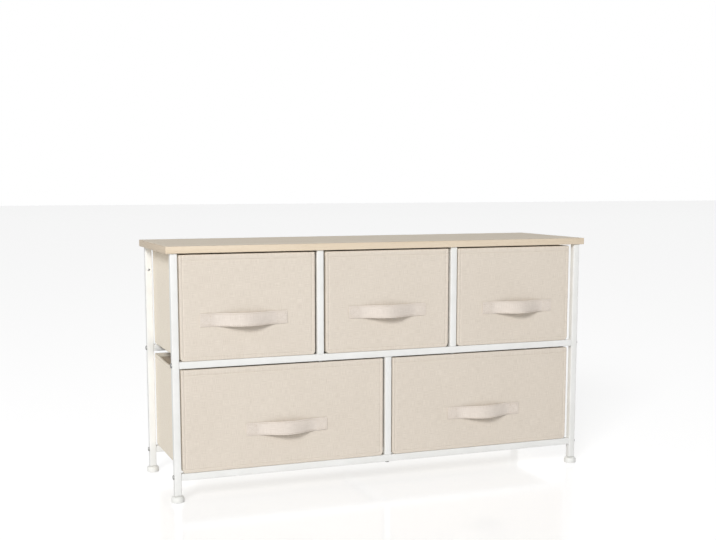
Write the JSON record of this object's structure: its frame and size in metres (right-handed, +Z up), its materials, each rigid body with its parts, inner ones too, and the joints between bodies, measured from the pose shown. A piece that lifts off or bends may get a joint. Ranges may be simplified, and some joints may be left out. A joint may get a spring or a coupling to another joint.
{
  "type": "fabric drawer dresser",
  "caption": "Wide low dresser: light wooden top on a white steel tube frame with round feet, holding open-topped fabric drawers with bowed strap handles in two rows.",
  "frame": {"origin": "on the floor under the middle of the whole width and the whole depth, feet and handles included", "axes": "+X to the right seen from the front, +Y from the drawer fronts to the back, +Z up"},
  "size_m": [1, 0.3218, 0.545],
  "materials": {
    "top": "light oak grain foil on board, matt",
    "frame": "white powder coat, satin",
    "bolt": "zinc-plated, satin",
    "plug": "white moulded plastic",
    "foot": "off-white moulded plastic, matt",
    "cloth": "warm beige linen-look weave over stiff board",
    "board": "thin hardboard, plain",
    "strap": "folded strap of the same beige weave, stitched ends"
  },
  "bodies": {
    "frame": {"tabletop": "top", "post_front_left": "frame", "top_stud_front_left": "bolt", "foot_plug_front_left": "plug", "side_bolt_mid_front_left": "bolt", "side_bolt_low_front_left": "bolt", "post_front_right": "frame", "top_stud_front_right": "bolt", "foot_plug_front_right": "plug", "side_bolt_mid_front_right": "bolt", "side_bolt_low_front_right": "bolt", "post_rear_left": "frame", "top_stud_rear_left": "bolt", "foot_plug_rear_left": "plug", "side_bolt_mid_rear_left": "bolt", "side_bolt_low_rear_left": "bolt", "post_rear_right": "frame", "top_stud_rear_right": "bolt", "foot_plug_rear_right": "plug", "side_bolt_mid_rear_right": "bolt", "side_bolt_low_rear_right": "bolt", "mid_rail_front": "frame", "low_rail_front": "frame", "upper_divider_front_left": "frame", "upper_divider_front_right": "frame", "lower_divider_front": "frame", "mid_bolt_front_left": "bolt", "mid_bolt_front_right": "bolt", "low_bolt_front": "bolt", "mid_rail_rear": "frame", "low_rail_rear": "frame", "upper_divider_rear_left": "frame", "upper_divider_rear_right": "frame", "lower_divider_rear": "frame", "mid_bolt_rear_left": "bolt", "mid_bolt_rear_right": "bolt", "low_bolt_rear": "bolt", "mid_tie_left": "frame", "mid_tie_right": "frame", "low_tie": "frame"},
    "drawer_upper_left": {"upper_left_bin": "cloth", "upper_left_board": "board", "upper_left_handle": "strap"},
    "drawer_upper_middle": {"upper_middle_bin": "cloth", "upper_middle_board": "board", "upper_middle_handle": "strap"},
    "drawer_upper_right": {"upper_right_bin": "cloth", "upper_right_board": "board", "upper_right_handle": "strap"},
    "drawer_lower_left": {"lower_left_bin": "cloth", "lower_left_board": "board", "lower_left_handle": "strap"},
    "drawer_lower_right": {"lower_right_bin": "cloth", "lower_right_board": "board", "lower_right_handle": "strap"},
    "foot_front_left": {"foot_front_left": "foot"},
    "foot_front_right": {"foot_front_right": "foot"},
    "foot_rear_left": {"foot_rear_left": "foot"},
    "foot_rear_right": {"foot_rear_right": "foot"}
  },
  "joints": [
    {"name": "drawer_upper_left_slide", "type": "slide", "parent": "frame", "child": "drawer_upper_left", "axis": [0, -1, 0], "range_m": [0, 0.2]},
    {"name": "drawer_upper_middle_slide", "type": "slide", "parent": "frame", "child": "drawer_upper_middle", "axis": [0, -1, 0], "range_m": [0, 0.2]},
    {"name": "drawer_upper_right_slide", "type": "slide", "parent": "frame", "child": "drawer_upper_right", "axis": [0, -1, 0], "range_m": [0, 0.2]},
    {"name": "drawer_lower_left_slide", "type": "slide", "parent": "frame", "child": "drawer_lower_left", "axis": [0, -1, 0], "range_m": [0, 0.2]},
    {"name": "drawer_lower_right_slide", "type": "slide", "parent": "frame", "child": "drawer_lower_right", "axis": [0, -1, 0], "range_m": [0, 0.2]},
    {"name": "foot_front_left_screw", "type": "slide", "parent": "frame", "child": "foot_front_left", "axis": [0, 0, -1], "range_m": [0, 0.008]},
    {"name": "foot_front_right_screw", "type": "slide", "parent": "frame", "child": "foot_front_right", "axis": [0, 0, -1], "range_m": [0, 0.008]},
    {"name": "foot_rear_left_screw", "type": "slide", "parent": "frame", "child": "foot_rear_left", "axis": [0, 0, -1], "range_m": [0, 0.008]},
    {"name": "foot_rear_right_screw", "type": "slide", "parent": "frame", "child": "foot_rear_right", "axis": [0, 0, -1], "range_m": [0, 0.008]}
  ]
}
